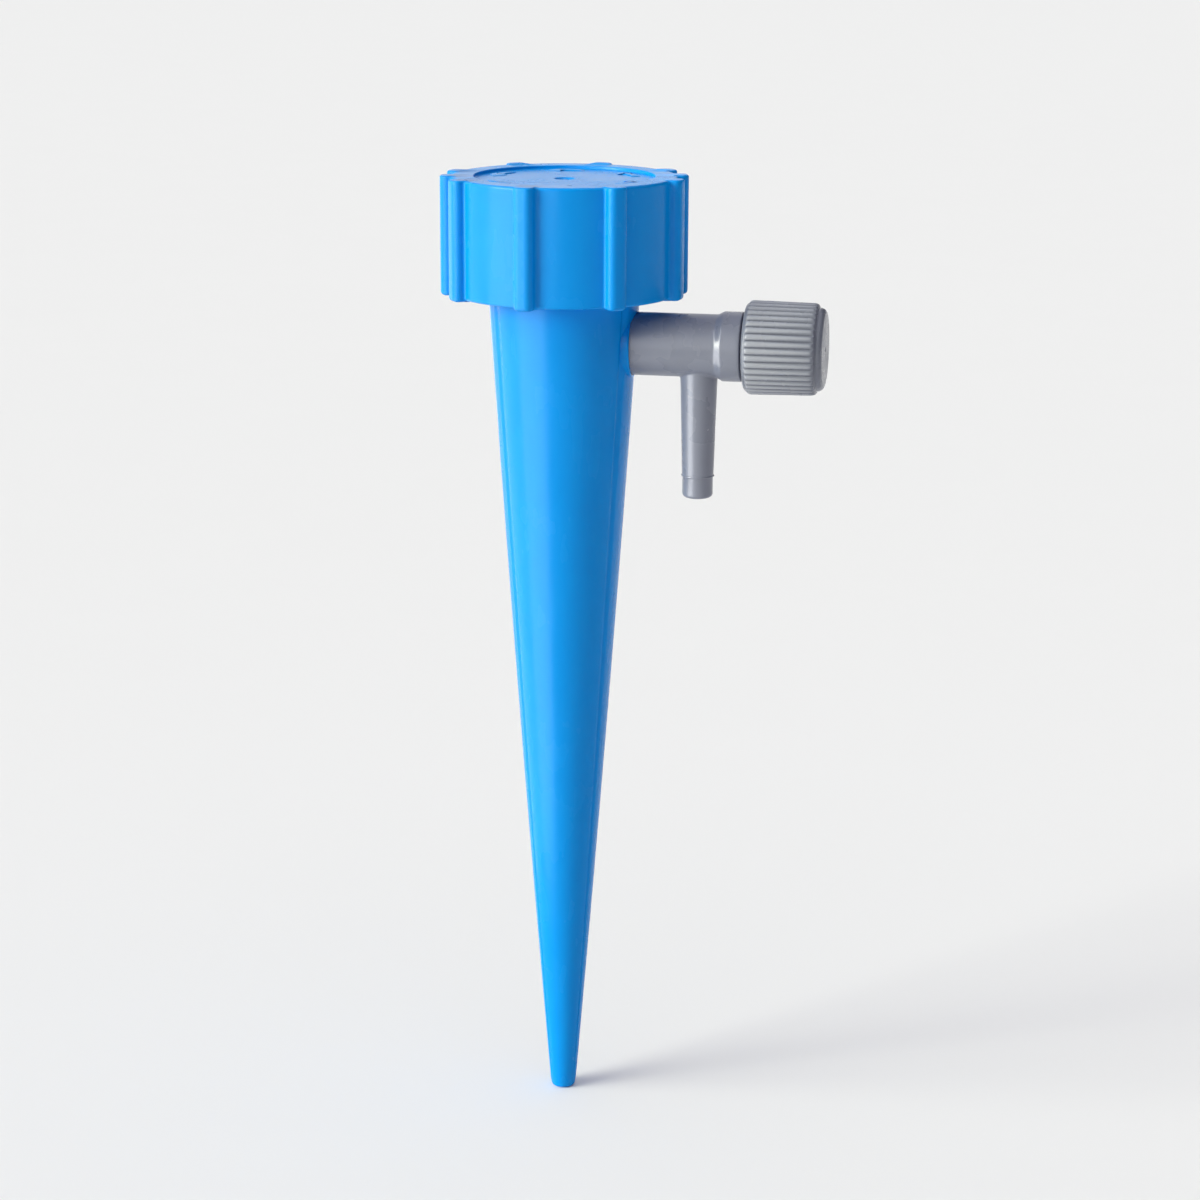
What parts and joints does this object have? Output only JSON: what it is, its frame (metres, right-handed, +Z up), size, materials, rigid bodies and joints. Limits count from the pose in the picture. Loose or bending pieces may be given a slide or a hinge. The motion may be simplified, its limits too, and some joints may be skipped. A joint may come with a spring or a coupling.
{
  "type": "drip watering spike",
  "caption": "Hollow tapered stake with a bottle cup under a ribbed screw cap, and a side needle valve with a knurled knob and a drip nozzle.",
  "frame": {"origin": "centre of the flat end at the stake's tip", "axes": "+Z up the stake's axis to the cap, +X out along the valve to its knob, +Y completes the right-handed frame"},
  "size_m": [0.0588, 0.0374, 0.1481],
  "materials": {
    "blue_plastic": "injection-moulded polypropylene, satin gloss",
    "grey_plastic": "injection-moulded polypropylene, satin",
    "seal_rubber": "moulded, dull",
    "liner_foam": "foamed polyethylene sheet"
  },
  "bodies": {
    "stake": {"stake_body": "blue_plastic", "bottle_washer": "seal_rubber", "valve_body": "grey_plastic", "port_o_ring": "seal_rubber"},
    "liner": {"cap_liner": "liner_foam"},
    "cap": {"screw_cap": "blue_plastic"},
    "needle_seal": {"needle_o_ring": "seal_rubber"},
    "knob": {"control_knob": "grey_plastic", "flow_needle": "grey_plastic"}
  },
  "joints": [
    {"name": "cap_lift", "type": "slide", "parent": "stake", "child": "liner", "axis": [0, 0, 1], "range_m": [0, 0.03]},
    {"name": "cap_turn", "type": "hinge", "parent": "liner", "child": "cap", "pos_m": [0, 0, 0.1392], "axis": [0, 0, 1], "range_deg": [0, 2160]},
    {"name": "needle_travel", "type": "slide", "parent": "stake", "child": "needle_seal", "axis": [1, 0, 0], "range_m": [0, 0.003]},
    {"name": "knob_turn", "type": "hinge", "parent": "needle_seal", "child": "knob", "pos_m": [0.0343, 0, 0.1228], "axis": [1, 0, 0], "range_deg": [0, 720]}
  ],
  "couplings": [
    {"joint": "cap_lift", "follows": "cap_turn", "m_per_rad": 0.00079577},
    {"joint": "knob_turn", "follows": "needle_travel", "rad_per_m": 4188.8}
  ]
}
